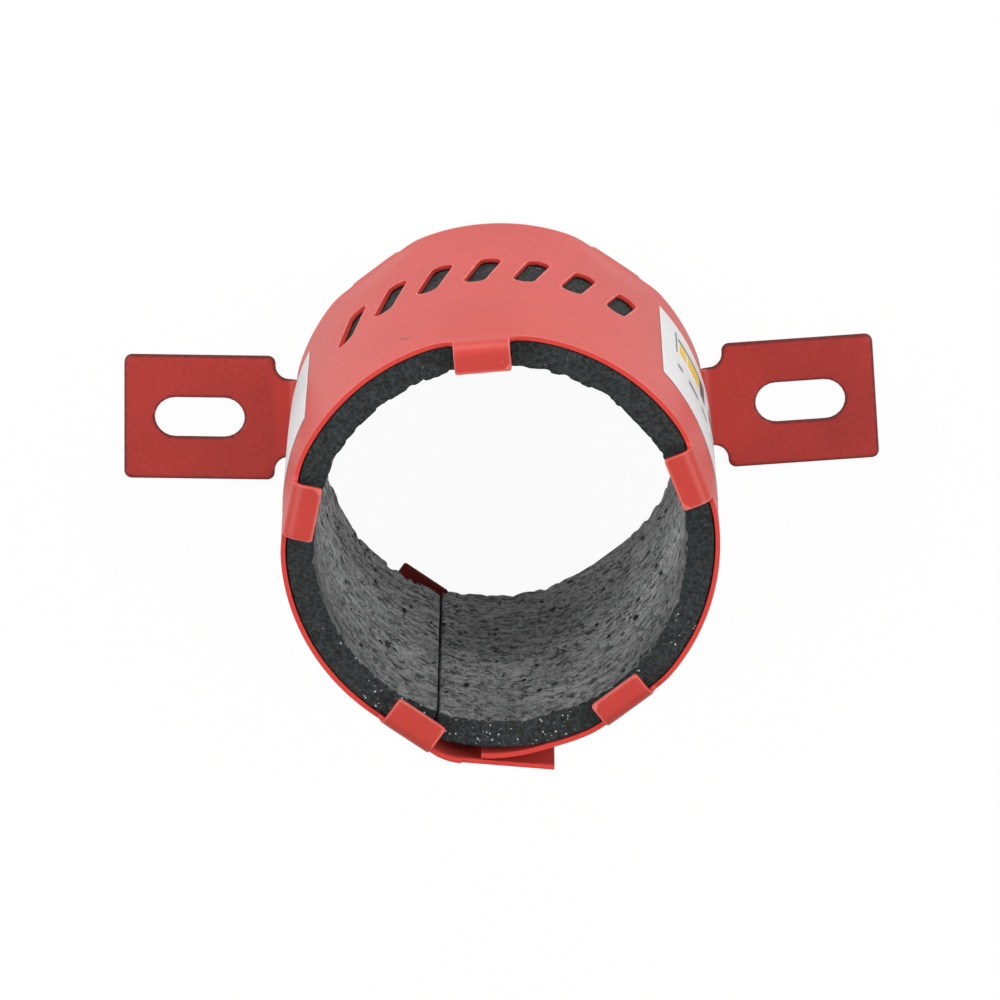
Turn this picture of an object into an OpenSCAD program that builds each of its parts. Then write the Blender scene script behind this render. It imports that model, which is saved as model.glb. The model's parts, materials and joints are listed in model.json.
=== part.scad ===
// Pipe fire collar: one folded sheet steel casing with two slotted ears, round an intumescent strip.
// The origin is midway between the fixing slots, in the plane that sits on the wall. +Z runs along the
// pipe, away from the wall, and +X runs through the slots.

/* [Passage] */
// Clear diameter that the pipe passes through
bore_d = 55; // [45:1:75]
// Depth of the collar along the pipe
depth = 66; // [50:1:90]

/* [Liner] */
// Thickness of the intumescent strip
liner_t = 4.3; // [3.5:0.1:7]
// Clearance between the strip and the casing
liner_fit = 0.2; // [0.1:0.05:0.4]
// How far the strip's edges stand back from the casing's
liner_recess = 0.2; // [0.1:0.1:1.5]
// Width of the butt seam where the strip's ends meet
seam_w = 0.5; // [0.2:0.1:1.5]
// Place of the butt seam round the axis, in degrees
seam_angle = 249; // [244:1:268]

/* [Sheet] */
// Thickness of the coated sheet
sheet_t = 0.7; // [0.5:0.1:1]
// Inside radius of every fold
bend_r = 1.2; // [0.8:0.1:1.5]
// Radius of the relief fillets at the root of every fold
root_fillet = 0.8; // [0.4:0.1:1.2]
// Height of the flat that is pressed into the ring at every fold
flat_h = 4.5; // [4:0.5:6]
// Length over which that flat runs out into the round
flat_fade = 10; // [6:0.5:12]

/* [Tabs] */
// Width of every tab
tab_w = 8.4; // [6:0.1:8.5]
// Radius of the corners at the tip of a tab
tab_corner = 0.8; // [0.3:0.1:1.5]
// How far the tips stay outside the clear bore
tab_clearance = 0.1; // [0.05:0.05:0.5]
// Flat on each side of a front tab
front_flat_margin = 2; // [1:0.1:2.2]
// Flat on each side of a rear tab
rear_flat_margin = 3.2; // [1:0.1:3.4]
// Number of front tabs on the ring, beside the one on the lap
front_tabs = 4; // [2:1:4]
// Place of the first front tab, in degrees
front_tab_first = -54; // [-56:0.5:-52]
// Angle from one front tab to the next
front_tab_pitch = 73.7; // [72:0.1:74]
// Angle from the x axis to the rear tabs on the ring
rear_tab_angle = 54; // [50:0.5:58]

/* [Ears] */
// Length of the ear's plate
ear_l = 23.5; // [20:0.5:32]
// Width of the ear's plate
ear_w = 20; // [17:0.5:26]
// Radius of the plate's corners
ear_corner = 1.2; // [0.5:0.1:3]
// How far both ears sit above the x axis, in degrees
ear_turn = 2.5; // [0:0.5:4]
// Width of the neck that carries the plate
neck_w = 12.5; // [10:0.5:14]
// Length of the neck, from the ring to the plate
neck_l = 3.3; // [3.2:0.1:6]
// Radius of the relief between neck and plate
neck_fillet = 2; // [0.8:0.1:2]
// Flat on each side of the neck's fold
ear_flat_margin = 1.4; // [1:0.1:2]
// Length of the fixing slot
slot_l = 14; // [9:0.5:18]
// Width of the fixing slot
slot_w = 6.5; // [5:0.1:8.5]

/* [Closure] */
// Where the outer end of the strip leaves the round, in degrees
lap_start = 233.5; // [232:0.5:236]
// How far the outer end turns after its straight run, in degrees
lap_turn = 30; // [28:0.5:32]
// Radius of that turn, at the middle of the sheet
lap_r = 8.5; // [5:0.5:8.5]
// Gap between the two ends where they lap
lap_gap = 1.3; // [1:0.05:1.4]
// Length of the straight tongue
tongue_l = 14; // [9:0.5:15]
// How far the tongue's long edges stand back from the casing's
tongue_setback = 0.5; // [0.4:0.1:3]

/* [Cut-outs] */
// Number of slanted cut-outs in the top of the casing
cut_count = 7; // [3:1:8]
// Width of a cut-out
cut_w = 3.4; // [2:0.1:4.5]
// Length of a cut-out
cut_l = 12.5; // [8:0.5:16]
// Slant of the cut-outs from the pipe's direction, in degrees
cut_slant = 14; // [0:1:20]
// Angle from one cut-out to the next
cut_pitch = 13; // [11.5:0.1:13]
// Middle of the row, in degrees
cut_middle = 93; // [88:0.5:94]
// Height of the row's middle above the wall
cut_z = 28.5; // [26:0.5:32]

/* [Labels] */
// Thickness of a paper label
label_t = 0.12; // [0.08:0.01:0.3]
// Layer of glue under a label
label_glue = 0.02; // [0.01:0.01:0.05]
// Length of a label round the casing
label_l = 35; // [20:0.5:38]
// Height of a label along the pipe
label_h = 35; // [16:0.5:38]
// Height of a label's lower edge above the wall
label_z = 11; // [8:0.5:12]
// Where the right label starts, in degrees
right_label_start = 40; // [38:0.5:44]
// Where the left label starts, in degrees
left_label_start = 152; // [150:0.5:156]

/* [Hidden] */
$fn = 96;
over = 1;
steel_red = [0.80, 0.24, 0.22];
liner_grey = [0.24, 0.27, 0.27];
paper_white = [0.90, 0.90, 0.88];
bore_r = bore_d / 2;
ring_in = bore_r + liner_t + liner_fit;
ring_r = ring_in + sheet_t;
ring_mid = ring_r - sheet_t / 2;
bend_out = bend_r + sheet_t;
edge_z = bend_out + root_fillet;
root_top = (edge_z + flat_h) / 2;
wall_h = depth - 2 * edge_z;
tab_tip = bore_r + tab_clearance;
front_angles = [for (i = [0 : front_tabs - 1]) front_tab_first + i * front_tab_pitch];
rear_angles = [rear_tab_angle, 180 - rear_tab_angle, -rear_tab_angle];
ear_angles = [ear_turn, 180 - ear_turn];

// Distance from the axis to the outer face of a fold's flat, for a flat of a given width
function flat_face(w) = sqrt(ring_r * ring_r - w * w / 4);
front_face = flat_face(tab_w + 2 * front_flat_margin);
rear_face = flat_face(tab_w + 2 * rear_flat_margin);
ear_face = flat_face(neck_w + 2 * ear_flat_margin);
slot_rise = (ear_face + neck_l + ear_l / 2) * sin(ear_turn);

// The outer end leaves the round along a tangent, turns, and ends on a tangent further out
lap_steps = 8;
lap_rise = ring_mid * (1 - cos(lap_turn)) + sheet_t + lap_gap;
lap_run = (lap_rise - lap_r * (1 - cos(lap_turn))) / sin(lap_turn);
tongue_from = lap_run * cos(lap_turn) - (ring_mid - lap_r) * sin(lap_turn);
lap_end = lap_start + lap_turn + atan2(max(tongue_from, 0), ring_r);

// What a round of radius r takes off a corner at the origin, with the body towards -x and -y
module corner_waste(r) {
    translate([-r, -r])
        difference() {
            square(r + over);
            circle(r);
        }
}

// What a fillet of radius r adds in a corner at the origin, in the quarter towards +x and +y
module corner_fill(r) {
    difference() {
        square(r);
        translate([r, r]) circle(r);
    }
}

// Slot with round ends, its length along x
module obround(l, w) {
    square([l - w, w], center = true);
    for (side = [-1, 1]) translate([side * (l - w) / 2, 0]) circle(d = w);
}

// Wedge from the axis between two angles less than half a turn apart, out to a radius of r or more
module sector(from, to, r) {
    far = r / cos((to - from) / 2);
    polygon([[0, 0], far * [cos(from), sin(from)], far * [cos(to), sin(to)]]);
}

// Space outside a fold's flat at the wall end: a level face and a ramp that runs out into the round
module flat_waste(face, inset) {
    far = 2 * ring_r;
    ramp_end = [far - face - inset, flat_h + 2 * flat_fade];
    rotate([90, 0, 0])
        linear_extrude(far, center = true)
            polygon([
                [face - inset, -over],
                [face - inset, flat_h],
                ramp_end,
                [far, ramp_end.y],
                [far, -over]
            ]);
}

// The ring's outside with a flat at every fold, offset inwards by inset
module ring_form(inset) {
    difference() {
        cylinder(r = ring_r - inset, h = depth);
        for (a = ear_angles) rotate(a) flat_waste(ear_face, inset);
        for (a = rear_angles) rotate(a) flat_waste(rear_face, inset);
        translate([0, 0, depth])
            mirror([0, 0, 1])
                for (a = front_angles) rotate(a) flat_waste(front_face, inset);
    }
}

// Slice of what is passed in, between two heights
module slice(from, to) {
    intersection() {
        children();
        translate([0, 0, from]) cylinder(r = 2 * ring_r, h = to - from);
    }
}

// Section of a fold: an upright and a plate, u from the upright's convex face and v from the plate's
module fold_section(reach) {
    difference() {
        square([reach, root_top]);
        rotate(180) corner_waste(bend_out);
        difference() {
            translate([sheet_t, sheet_t]) square([reach, root_top]);
            translate([sheet_t, sheet_t]) rotate(180) corner_waste(bend_r);
        }
    }
}

// Fold of width w, its upright in the ring's flat with a relief fillet on both sides
module fold(w, reach) {
    rotate([90, 0, 0]) linear_extrude(w, center = true) fold_section(reach);
    rotate([90, 0, 90])
        linear_extrude(sheet_t)
            for (side = [0, 1])
                mirror([side, 0])
                    translate([w / 2, edge_z])
                        mirror([0, 1])
                            corner_fill(root_fillet);
}

// Tab at the wall end, folded in under the liner
module tab(face) {
    reach = face - tab_tip;
    translate([face, 0, 0])
        mirror([1, 0, 0])
            difference() {
                fold(tab_w, reach);
                translate([0, 0, -over])
                    linear_extrude(sheet_t + 2 * over)
                        for (side = [0, 1])
                            mirror([0, side])
                                translate([reach, tab_w / 2])
                                    corner_waste(tab_corner);
            }
}

// Outline of an ear's plate, from its shoulder outwards, with the fixing slot and the neck's reliefs
module ear_outline() {
    difference() {
        translate([0, -ear_w / 2]) square([ear_l, ear_w]);
        for (side = [0, 1])
            mirror([0, side]) {
                translate([ear_l, ear_w / 2]) corner_waste(ear_corner);
                translate([0, ear_w / 2]) mirror([1, 0]) corner_waste(ear_corner);
            }
        translate([ear_l / 2, 0]) obround(slot_l, slot_w);
    }
    for (side = [0, 1])
        mirror([0, side])
            translate([0, neck_w / 2])
                mirror([1, 0])
                    corner_fill(neck_fillet);
}

// Ear at the wall end, folded out flat against the wall
module ear() {
    neck_hold = (ear_l - slot_l) / 4;
    translate([ear_face - sheet_t, 0, 0]) fold(neck_w, sheet_t + neck_l + neck_hold);
    translate([ear_face + neck_l, 0, 0]) linear_extrude(sheet_t) ear_outline();
}

// Points of the lap's turn at a distance from the middle of the sheet
function lap_turn_points(off) = [
    for (i = [0 : lap_steps])
        [ring_mid - lap_r, lap_run]
            + (lap_r + off) * [cos(lap_turn * i / lap_steps), sin(lap_turn * i / lap_steps)]
];

// End of the tongue at a distance from the middle of the sheet
function tongue_end(off) = [ring_mid - lap_r, lap_run]
    + (lap_r + off) * [cos(lap_turn), sin(lap_turn)]
    + tongue_l * [-sin(lap_turn), cos(lap_turn)];

// Section of the outer end of the strip: a straight run, a turn and a straight tongue
module lap_section() {
    half = sheet_t / 2;
    inner = lap_turn_points(-half);
    polygon(concat(
        [[ring_mid + half, 0]],
        lap_turn_points(half),
        [tongue_end(half), tongue_end(-half)],
        [for (i = [lap_steps : -1 : 0]) inner[i]],
        [[ring_mid - half, 0]]
    ));
}

// Outer end of the strip, with a tab at both ends of its run and the tongue's long edges set back
module lap() {
    tongue_foot = lap_turn_points(0)[lap_steps];
    difference() {
        translate([0, 0, edge_z]) linear_extrude(wall_h) lap_section();
        for (z = [edge_z - over, edge_z + wall_h - tongue_setback])
            translate([0, 0, z])
                linear_extrude(tongue_setback + over)
                    translate(tongue_foot)
                        rotate(lap_turn)
                            translate([-ring_r, 0]) square(2 * ring_r);
    }
    translate([0, lap_run / 2, 0]) tab(ring_r);
    translate([0, lap_run / 2, depth]) mirror([0, 0, 1]) tab(ring_r);
}

// Row of slanted slots through the top of the ring
module cut_row() {
    for (i = [0 : cut_count - 1])
        rotate(cut_middle + (i - (cut_count - 1) / 2) * cut_pitch)
            translate([bore_r, 0, cut_z])
                rotate([90, 0, 90])
                    rotate(90 - cut_slant)
                        linear_extrude(ring_r)
                            obround(cut_l, cut_w);
}

module casing() {
    color(steel_red) {
        difference() {
            slice(edge_z, depth - edge_z) ring_form(0);
            ring_form(sheet_t);
            linear_extrude(depth) sector(lap_start, lap_end, 2 * ring_r);
            cut_row();
        }
        for (a = rear_angles) rotate(a) tab(rear_face);
        for (a = ear_angles) rotate(a) ear();
        translate([0, 0, depth])
            mirror([0, 0, 1])
                for (a = front_angles) rotate(a) tab(front_face);
        rotate(lap_start) lap();
    }
}

module intumescent_liner() {
    end_z = edge_z + liner_recess;
    color(liner_grey)
        difference() {
            slice(end_z, depth - end_z) ring_form(sheet_t + liner_fit);
            cylinder(r = bore_r, h = depth);
            rotate(seam_angle) translate([0, -seam_w / 2, 0]) cube([ring_r, seam_w, depth]);
        }
}

// Paper label that starts at an angle and runs clockwise or, with turn 1, anticlockwise
module label(start, turn) {
    arc = turn * label_l / ring_r * 180 / PI;
    color(paper_white)
        intersection() {
            slice(label_z, label_z + label_h)
                difference() {
                    ring_form(-label_glue - label_t);
                    ring_form(-label_glue);
                }
            linear_extrude(depth) sector(min(start, start + arc), max(start, start + arc), 2 * ring_r);
        }
}

module label_left() {
    label(left_label_start, 1);
}

module label_right() {
    label(right_label_start, -1);
}

// Moves what is built round the pipe's axis so that the middle between the slots is at the origin
module placed() {
    translate([0, -slot_rise, 0]) children();
}

placed() casing();
placed() intumescent_liner();
placed() label_left();
placed() label_right();
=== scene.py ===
"""Dresses a pipe fire collar: folded casing, intumescent liner, paper labels and a plain stage."""
import json
from math import cos, pi, radians, sin, sqrt
from types import SimpleNamespace

import bpy
import numpy as np
from mathutils import Matrix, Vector
from mathutils.geometry import delaunay_2d_cdt


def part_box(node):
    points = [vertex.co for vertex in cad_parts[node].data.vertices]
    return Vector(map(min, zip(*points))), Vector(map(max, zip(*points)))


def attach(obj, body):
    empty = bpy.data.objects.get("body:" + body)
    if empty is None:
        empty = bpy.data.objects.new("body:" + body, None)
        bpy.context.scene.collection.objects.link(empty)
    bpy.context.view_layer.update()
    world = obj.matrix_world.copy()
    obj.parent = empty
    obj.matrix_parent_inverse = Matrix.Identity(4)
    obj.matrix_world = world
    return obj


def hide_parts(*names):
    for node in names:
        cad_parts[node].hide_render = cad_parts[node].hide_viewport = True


bl_info = {
    "name": "Pipe fire collar",
    "version": (1, 0, 0),
    "blender": (4, 5, 0),
    "location": "3D View > Sidebar > Collar",
    "description": "Builds the collar's casing, liner and labels round its packed solids, and a stage",
    "category": "Object",
}

MM = 0.001
BODY = "root"

CHUNK = 4_000_000  # pairs of points compared at once
FOLD_ARC = 1.0  # radians round a fold, past which it has no say
FOLD_REACH = 0.6  # of an ear's width: how far along the blank a fold reaches
RIM_STEP, RIM_GAP = 0.7, 0.5  # of the mesh step: spacing along the blank's rim, and room beside it
BEND_ROWS = 8  # rows of the mesh across every fold
WELD = 1e-6  # millimetres within which two points of the blank are one
SHARP_ANGLE = radians(50)  # past which an edge is rounded
SHEET_SHARE = 0.98  # of the sheet's thickness, so that its faces stay inside the solid

# Arcs of the liner's rear edge: of its first end's rise and its last end's, both counted from the seam,
# and half the arcs of its sag over a rear tab and of the pressed bore there.
FIRST_ARC, LAST_ARC = radians(16), (radians(288), radians(330))
SAG_ARC, PRESS_ARC = radians(21), radians(14)
# Heights between which a plate, or a cut edge, starts to count as lying on the wall.
WALL_ZONE = (0.95 * MM, 0.75 * MM)
EDGE_ZONE = (1.1 * MM, 0.8 * MM)
# Distances from the middle at which the outside of an ear's fold starts and ends.
EAR_FOLD_START = (31.0 * MM, 31.5 * MM)
EAR_FOLD_END = (35.9 * MM, 34.2 * MM)
# The scuff on the top: its place across, the line that it follows up the casing, and where the top starts.
SCUFF_X, SCUFF_SLOPE, SCUFF_RISE, SCUFF_LOW = -13.4 * MM, 1.2, 70.8 * MM, 20 * MM
# Print on the right label and the crease's painted shade on the left one, as shares of a label's length and
# height.
DARK_FIELDS = (
    (0.125, 0.350, 0.165, 0.205),
    (0.325, 0.385, 0.165, 0.430),
    (0.105, 0.116, 0.120, 0.420),
    (0.450, 0.560, 0.220, 0.420),
)
COLOUR_FIELDS = ((0.135, 0.190, 0.210, 0.385), (0.202, 0.320, 0.210, 0.385))
BARS = ((0.11, 0.15), (0.20, 0.29), (0.33, 0.40), (0.45, 0.60), (0.64, 0.70), (0.75, 0.88))
BAR_ROW = (0.58, 0.64)
CREASE_U = 0.30
# The lamps' places and width in metres, and the floor's colour.
SIDE_LAMP, TOP_LAMP, LAMP_SIZE = (0.48, 0.06, 0.51), (0.0, 0.55, 0.12), 0.5
FLOOR_WHITE = (0.9, 0.9, 0.9, 1.0)

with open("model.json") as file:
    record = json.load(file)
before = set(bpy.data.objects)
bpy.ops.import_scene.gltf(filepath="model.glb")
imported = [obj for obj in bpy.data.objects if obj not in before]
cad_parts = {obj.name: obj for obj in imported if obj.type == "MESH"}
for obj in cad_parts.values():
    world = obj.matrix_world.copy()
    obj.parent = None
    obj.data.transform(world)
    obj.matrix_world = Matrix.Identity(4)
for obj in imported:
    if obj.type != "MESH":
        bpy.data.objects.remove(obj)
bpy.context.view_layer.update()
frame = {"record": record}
MOUNTS = {mount["name"]: mount for mount in frame["record"]["mounts"]}
SLOT_DIMS = MOUNTS["ear_slots"]["dims"]
AXIS = np.array(MOUNTS["pipe_bore"]["pos_m"]) * (1, 1, 0)
CASING_LOW, CASING_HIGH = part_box("casing")
_, LINER_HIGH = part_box("intumescent_liner")
LABEL_LOW, LABEL_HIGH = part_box("label_right")


def length(name, description, default):
    """A length in metres."""
    look = {"precision": 5, "subtype": "DISTANCE", "unit": "LENGTH"}
    return bpy.props.FloatProperty(name=name, description=description, default=default, **look)


def angle(name, description, degrees):
    """An angle, given in degrees and kept in radians."""
    look = {"precision": 3, "subtype": "ANGLE", "unit": "ROTATION"}
    return bpy.props.FloatProperty(name=name, description=description, default=radians(degrees), **look)


def number(name, description, default):
    """A plain number."""
    return bpy.props.FloatProperty(name=name, description=description, default=default, precision=3)


def colour(name, description, default):
    """A linear colour."""
    return bpy.props.FloatVectorProperty(
        name=name, description=description, default=default, size=3, min=0.0, max=1.0, subtype="COLOR"
    )


class CollarSizes(bpy.types.PropertyGroup):
    """Sizes of the collar and places round its axis, counted from the right ear towards the top"""

    bore: length("Bore", "Radius of the clear bore", MOUNTS["pipe_bore"]["dims"]["r_mm"] * MM)
    depth: length("Depth", "Depth of the collar along the pipe", CASING_HIGH.z)
    liner_out: length("Liner outside", "Outside radius of the liner", LINER_HIGH.x)
    liner_fit: length("Liner fit", "Clearance between liner and casing", 0.2 * MM)
    liner_recess: length("Liner recess", "How far the liner stands back from the casing's rims", 0.2 * MM)
    seam: angle("Seam", "Place of the liner's butt seam", 249)
    seam_w: length("Seam width", "Width of the butt seam", 0.5 * MM)
    notch_h: length("Seam notch", "Height of the notch in the liner's rear edge at the seam", 1.4 * MM)
    notch_w: length("Seam notch width", "Width of that notch on each side of the seam", 1.3 * MM)
    first_rise: length("First rise", "Rise of the liner's rear edge at its first end", 1.2 * MM)
    last_rise: length("Last rise", "Rise of the liner's rear edge at its last end", 3.2 * MM)
    rear_sag: length("Rear sag", "How far the liner's rear edge sags over a rear tab", 3.4 * MM)
    bore_wear: length("Bore wear", "How far the rough bore lies outside the clear one", 0.22 * MM)
    pit_depth: length("Pit depth", "Depth of the pits in the liner's bore", 0.35 * MM)
    chip_depth: length("Chip depth", "Depth of the chips along the edges of the liner's bore", 0.3 * MM)
    sheet: length("Sheet", "Thickness of the coated sheet", 0.7 * MM)
    sheet_edge: length("Sheet edge", "Round on the cut edges of the sheet", 0.14 * MM)
    fold_r: length("Fold radius", "Inside radius of every fold", 1.2 * MM)
    root_fillet: length("Root fillet", "Relief fillet at the root of every fold", 0.8 * MM)
    flat_h: length("Flat", "Height of the flat at every fold", 4.5 * MM)
    flat_fade: length("Flat run-out", "Length over which a flat runs out into the round", 10 * MM)
    flat_soft: length("Flat softness", "How softly a flat joins the round", 0.3 * MM)
    tab_w: length("Tab width", "Width of every tab", 8.4 * MM)
    tab_corner: length("Tab corner", "Corner radius at the tip of a tab", 0.4 * MM)
    tab_clear: length("Tab clearance", "How far the tips stay outside the bore", 0.1 * MM)
    front_margin: length("Front flat margin", "Flat on each side of a front tab", 2 * MM)
    rear_margin: length("Rear flat margin", "Flat on each side of a rear tab", 3.2 * MM)
    front_first: angle("First front tab", "Place of the first front tab", -54)
    front_pitch: angle("Front tab pitch", "Angle from one front tab to the next", 73.7)
    front_count: bpy.props.IntProperty(name="Front tabs", description="Front tabs on the ring", default=4)
    rear_angle: angle("Rear tab angle", "Angle from the x axis to the rear tabs on the ring", 54)
    ear_turn: angle("Ear turn", "How far both ears sit above the x axis", 2.5)
    ear_l: length("Ear length", "Length of an ear's plate", 23.5 * MM)
    ear_w: length("Ear width", "Width of an ear's plate", 20 * MM)
    ear_corner: length("Ear corner", "Corner radius of an ear's plate", 1.2 * MM)
    ear_margin: length("Ear flat margin", "Flat on each side of an ear's neck", 1.4 * MM)
    neck_w: length("Neck width", "Width of the neck", 12.5 * MM)
    neck_l: length("Neck length", "Length of the neck from the ring", 3.3 * MM)
    neck_fillet: length("Neck relief", "Relief radius between neck and plate", 2.2 * MM)
    slot_l: length("Slot length", "Length of a fixing slot", SLOT_DIMS["slot_length_mm"] * MM)
    slot_w: length("Slot width", "Width of a fixing slot", 2 * SLOT_DIMS["hole_r_mm"] * MM)
    lap_start: angle("Lap start", "Where the outer end leaves the round", 233.5)
    lap_turn: angle("Lap turn", "How far the outer end turns after its straight run", 30)
    lap_r: length("Lap radius", "Radius of that turn", 8.5 * MM)
    lap_gap: length("Lap gap", "Gap between the lapped ends", 1.3 * MM)
    end_spring: length("End spring", "How far the inner end springs out of the round", 0.9 * MM)
    end_spring_arc: angle("End spring arc", "Arc over which the inner end springs out", 22)
    tongue_l: length("Tongue length", "Length of the straight tongue", 14 * MM)
    tongue_setback: length("Tongue setback", "How far the tongue's long edges stand back", 0.5 * MM)
    cut_count: bpy.props.IntProperty(name="Cut-outs", description="Number of slanted cut-outs", default=7)
    cut_w: length("Cut-out width", "Width of a cut-out", 3.4 * MM)
    cut_l: length("Cut-out length", "Length of a cut-out", 12.5 * MM)
    cut_slant: angle("Cut-out slant", "Slant of the cut-outs", 14)
    cut_pitch: angle("Cut-out pitch", "Angle from one cut-out to the next", 13)
    cut_middle: angle("Cut-out middle", "Middle of the row of cut-outs", 93)
    cut_z: length("Cut-out height", "Height of the row above the wall", 28.5 * MM)
    label_t: length("Label thickness", "Thickness of a label", 0.12 * MM)
    label_glue: length("Label glue", "Layer of glue under a label", 0.02 * MM)
    label_l: length("Label length", "Length of a label round the casing", 35 * MM)
    label_low: length("Label bottom", "Lower edge of a label", LABEL_LOW.z)
    label_high: length("Label top", "Upper edge of a label", LABEL_HIGH.z)
    right_label: angle("Right label", "Where the right label starts", 40)
    left_label: angle("Left label", "Where the left label starts", 152)
    mesh_step: length("Mesh step", "Spacing of the casing's mesh", 1.1 * MM)


class CollarColours(bpy.types.PropertyGroup):
    """Colours of the collar's finishes"""

    coat: colour("Coat", "Red coating of the sheet", (0.44, 0.039, 0.029))
    # Painted shade: a darker copy of the coat for the plates that lie on the wall.
    coat_wall_shade: colour("Wall shade coat", "Coating on the plates that lie on the wall", (0.365, 0.031, 0.024))
    # Painted highlight: a lighter copy of the coat for the cut edges.
    coat_edge_highlight: colour("Edge coat", "Coating on the cut edges", (0.52, 0.042, 0.032))
    # Painted highlight: a pale copy of the coat along its rims.
    coat_rim_highlight: colour("Rim highlight coat", "Painted highlight along the coat's rims", (0.66, 0.17, 0.145))
    # Painted shade on the cut edges and rims at the wall; also the colour of the real scuff.
    coat_dirt_and_shade: colour("Dirt and shade coat", "Cut edges at the wall, and scuffs", (0.10, 0.012, 0.012))
    # Painted light: a lighter copy of the coat for the inside of the sheet, which lies in shade.
    coat_inside_lightened: colour("Inside coat", "Coating on the inside of the sheet, lightened as painted light", (0.66, 0.060, 0.045))
    liner_face: colour("Liner face", "Cut face of the liner", (0.021, 0.0245, 0.0245))
    liner_wall: colour("Liner wall", "Rough wall of the liner's bore", (0.86, 0.865, 0.87))
    liner_dark: colour("Liner dark", "Hollows between the liner's fibres", (0.085, 0.088, 0.091))
    liner_pit: colour("Liner pit", "Pits and shadows of the liner", (0.010, 0.011, 0.012))
    # Painted glints of the liner's flakes.
    liner_glint: colour("Liner glint", "Bright flecks in the liner", (0.60, 0.64, 0.64))
    paper: colour("Paper", "Paper of the labels", (0.53, 0.53, 0.535))
    # Greyed paper, and the painted shade of the left label's crease.
    paper_worn_and_shade: colour("Worn and shaded paper", "Greyed paper", (0.43, 0.43, 0.44))
    print_block: colour("Print block", "Coloured field on the right label", (0.56, 0.36, 0.008))
    print_dark: colour("Dark print", "Dark fields on the right label", (0.050, 0.050, 0.048))


class CollarStage(bpy.types.PropertyGroup):
    """View and light"""

    pitch: angle("Pitch", "How far the view tips off the pipe's axis", 17.601)
    yaw: angle("Yaw", "How far the view turns sideways", -0.554)
    roll: angle("Roll", "How far the picture is turned", 1.749)
    distance: length("Distance", "From the camera to the plane of the wall", 1.2469)
    aside: length("Aside", "Place of the collar's foot across the picture", -0.014 * MM)
    aloft: length("Aloft", "Place of the collar's foot up the picture", 14.375 * MM)
    lens: number("Lens", "Focal length in millimetres", 288)
    floor: length("Floor", "Half width of the floor", 3)
    floor_drop: length("Floor drop", "How far the floor lies under the ears", 0.2 * MM)
    floor_glow: number("Floor glow", "Share of plain white in the floor's look", 0.95)
    side: number("Side", "Power of each lamp at the sides", 3.75)
    top: number("Top", "Power of the lamp above the picture", 3.8)
    sky: number("Sky", "Strength of the light from all round", 0.12)


def settings():
    """Sizes and colours of the scene, and the sizes that follow from the driving ones."""
    scene = bpy.context.scene
    s = scene.collar_sizes
    more = SimpleNamespace()
    more.ring = s.liner_out + s.liner_fit + s.sheet
    more.ring_mid = more.ring - s.sheet / 2
    more.bend_out = s.fold_r + s.sheet
    more.edge = more.bend_out + s.root_fillet
    more.bend_l = (s.fold_r + s.sheet / 2) * pi / 2
    more.front_face = flat_face(more.ring, s.tab_w + 2 * s.front_margin)
    more.rear_face = flat_face(more.ring, s.tab_w + 2 * s.rear_margin)
    more.ear_face = flat_face(more.ring, s.neck_w + 2 * s.ear_margin)
    rise = more.ring_mid * (1 - cos(s.lap_turn)) + s.sheet + s.lap_gap
    more.lap_run = (rise - s.lap_r * (1 - cos(s.lap_turn))) / sin(s.lap_turn)
    more.lap_at = s.lap_start * more.ring
    more.lap_arc = s.lap_r * s.lap_turn
    more.inner_end = s.lap_start + s.lap_turn - 2 * pi
    more.flats, more.folds = folds(s, more)
    return s, more, scene.collar_colours


def flat_face(ring, width):
    """Distance from the axis to a flat of that width pressed into the round."""
    return sqrt(ring * ring - width * width / 4)


def folds(s, more):
    """The folds on the ring, which have flats, and all folds in their order along the blank.

    Each has the angle of its face, its place along the blank, its end of the collar, the distance of its
    face from the axis, and whether it goes in or out.
    """
    front = [s.front_first + i * s.front_pitch for i in range(s.front_count)]
    rows = [(a, "front", more.front_face, "in") for a in front]
    rows += [(a, "rear", more.rear_face, "in") for a in (s.rear_angle, pi - s.rear_angle, -s.rear_angle)]
    rows += [(a, "rear", more.ear_face, "out") for a in (s.ear_turn, pi - s.ear_turn)]
    flats = [
        SimpleNamespace(angle=a, at=a * more.ring, end=end, face=face, way=way, lap=False)
        for a, end, face, way in rows
    ]
    middle = more.lap_at + more.lap_run / 2
    lap = [
        SimpleNamespace(angle=s.lap_start, at=middle, end=end, face=more.ring, way="in", lap=True)
        for end in ("front", "rear")
    ]
    return flats, sorted(flats + lap, key=lambda fold: fold.at)


def turn_from(theta, place):
    """Signed angle from a place round the axis, between minus and plus half a turn."""
    return (theta - place + pi) % (2 * pi) - pi


def smooth_step(value, low, high):
    """Rises from 0 at low to 1 at high along a smooth cubic."""
    t = np.clip((value - low) / (high - low), 0, 1)
    return t * t * (3 - 2 * t)


def bump_at(theta, place, half):
    """A bell over an angle: 1 at the place, e to the -1 at half to its sides."""
    return np.exp(-((turn_from(theta, place) / half) ** 2))


def value_noise(u, v, cells_u, cells_v, seed):
    """Smooth random field from -1 to 1 on the unit square, periodic in u.

    Random heights on a lattice of cells_u by cells_v cells, joined by a cubic step in both directions.
    """
    lattice = np.random.default_rng(seed).uniform(-1, 1, (cells_u, cells_v + 2))
    x = (u % 1.0) * cells_u
    y = np.clip(v, 0, 1) * cells_v
    i, j = np.floor(x).astype(int), np.floor(y).astype(int)
    fx, fy = smooth_step(x - i, 0, 1), smooth_step(y - j, 0, 1)
    i0, i1 = i % cells_u, (i + 1) % cells_u
    low = lattice[i0, j] * (1 - fx) + lattice[i1, j] * fx
    high = lattice[i0, j + 1] * (1 - fx) + lattice[i1, j + 1] * fx
    return low * (1 - fy) + high * fy


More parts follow.
